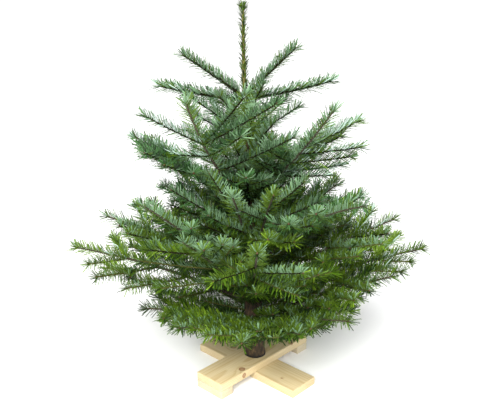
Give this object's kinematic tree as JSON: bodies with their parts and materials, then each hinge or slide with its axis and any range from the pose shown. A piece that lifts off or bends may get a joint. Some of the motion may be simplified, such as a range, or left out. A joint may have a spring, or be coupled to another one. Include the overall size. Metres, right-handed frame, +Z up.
{
  "type": "cut christmas tree on a wooden cross stand",
  "caption": "Small cut fir with a bare leader, whorls of needled boughs round a leaning trunk, standing on a cross of pine planks.",
  "frame": {"origin": "on the floor, under the middle of the plank cross, at the middle of the lower plank's flat underside", "axes": "+Z up; -Y towards the front of the tree; the upper plank of the stand runs 47 degrees from +X towards +Y"},
  "size_m": [1.0004, 0.787, 1.0161],
  "materials": {
    "pine": "planed pale pine with knots",
    "pine_feet": "planed whiter pine",
    "trunk_bark": "dark brown rough bark, yellow-green on the leader",
    "bough_bark": "brown young bark",
    "needles_young": "yellow-green needles, satin",
    "needles_upper": "blue-green needles with silver undersides",
    "needles_lower": "grass-green needles, satin"
  },
  "bodies": {
    "root": {"bough_bottom_back": "bough_bark", "bough_bottom_left": "bough_bark", "bough_bottom_right": "bough_bark", "bough_lower_back_left": "bough_bark", "bough_lower_back_right": "bough_bark", "bough_lower_front": "bough_bark", "bough_lower_front_left": "bough_bark", "bough_lower_left": "bough_bark", "bough_lower_right": "bough_bark", "bough_middle_back": "bough_bark", "bough_middle_back_left": "bough_bark", "bough_middle_back_right": "bough_bark", "bough_middle_front_left": "bough_bark", "bough_middle_front_right": "bough_bark", "bough_middle_left": "bough_bark", "bough_middle_right": "bough_bark", "foliage_between_back_left": "needles_lower", "foliage_between_back_right": "needles_lower", "foliage_between_left": "needles_lower", "foliage_between_right": "needles_lower", "foliage_bottom_back": "needles_lower", "foliage_bottom_fore_left": "needles_lower", "foliage_bottom_fore_right": "needles_lower", "foliage_bottom_front_left": "needles_lower", "foliage_bottom_front_right": "needles_lower", "foliage_bottom_left": "needles_lower", "foliage_bottom_right": "needles_lower", "foliage_leader": "needles_young", "foliage_lower_back_left": "needles_lower", "foliage_lower_back_right": "needles_lower", "foliage_lower_front": "needles_lower", "foliage_lower_front_left": "needles_lower", "foliage_lower_front_right": "needles_lower", "foliage_lower_left": "needles_lower", "foliage_lower_right": "needles_lower", "foliage_middle_back": "needles_lower", "foliage_middle_back_left": "needles_lower", "foliage_middle_back_right": "needles_lower", "foliage_middle_front_left": "needles_lower", "foliage_middle_front_right": "needles_lower", "foliage_middle_left": "needles_lower", "foliage_middle_right": "needles_lower", "foliage_middle_steep_left": "needles_lower", "foliage_middle_steep_right": "needles_lower", "foliage_top_left_high": "needles_young", "foliage_top_left_low": "needles_young", "foliage_top_right_high": "needles_young", "foliage_top_right_low": "needles_young", "foliage_upper_back_left": "needles_upper", "foliage_upper_back_right": "needles_upper", "foliage_upper_front": "needles_upper", "foliage_upper_front_left": "needles_upper", "foliage_upper_front_right": "needles_upper", "foliage_upper_left": "needles_upper", "foliage_upper_right": "needles_upper", "stand_foot_back": "pine_feet", "stand_foot_front": "pine_feet", "stand_lower_plank": "pine", "stand_upper_plank": "pine", "trunk": "trunk_bark"}
  },
  "joints": []
}
